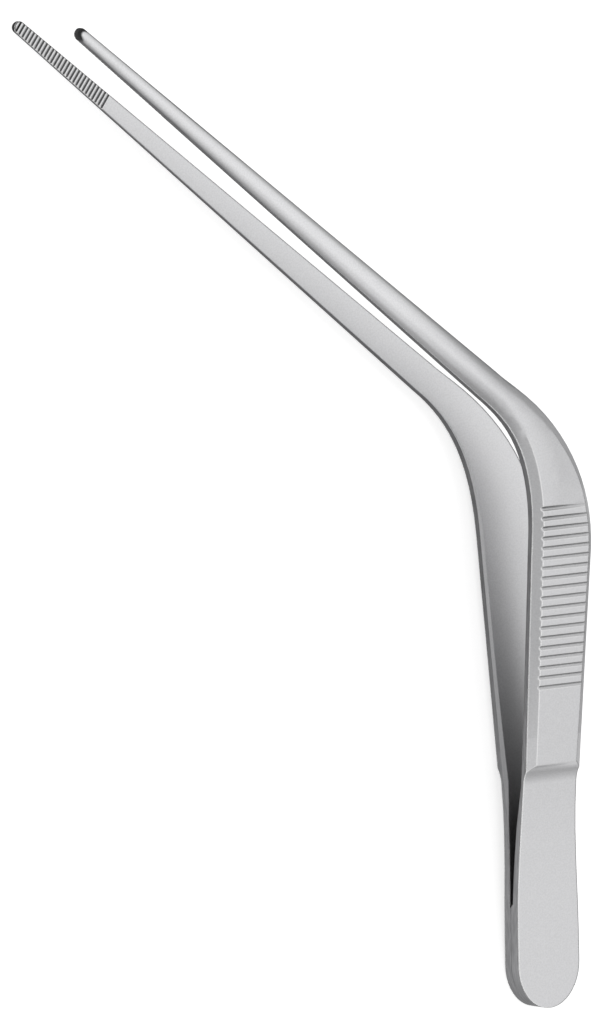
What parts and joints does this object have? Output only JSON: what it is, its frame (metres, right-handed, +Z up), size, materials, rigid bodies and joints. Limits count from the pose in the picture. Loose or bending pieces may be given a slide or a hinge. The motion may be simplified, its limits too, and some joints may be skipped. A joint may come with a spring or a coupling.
{
  "type": "ear forceps",
  "caption": "Knee-bent spring forceps with ribbed finger grips, long slender jaws with finely serrated tips, and a flat welded tail.",
  "frame": {"origin": "centre of the bounding box in plan, at the height of the table that the forceps rests on", "axes": "+Y from the welded tail along the handles, +X from the jaw tips towards the handles, +Z up from the table; the forceps lies on the lower arm's tail, knee and tip, and its middle plane leans about 7 degrees"},
  "size_m": [0.0854, 0.1384, 0.0174],
  "materials": {
    "steel": "satin stainless steel"
  },
  "bodies": {
    "lower_arm": {"lower_arm": "steel"},
    "upper_arm": {"upper_arm": "steel"}
  },
  "joints": [
    {"name": "squeeze", "type": "hinge", "parent": "lower_arm", "child": "upper_arm", "pos_m": [0.03724, -0.05531, 0.00275], "axis": [-0.9972, 0.0071, -0.0749], "range_deg": [0, 5.75], "stiffness_Nm_per_rad": 4}
  ]
}
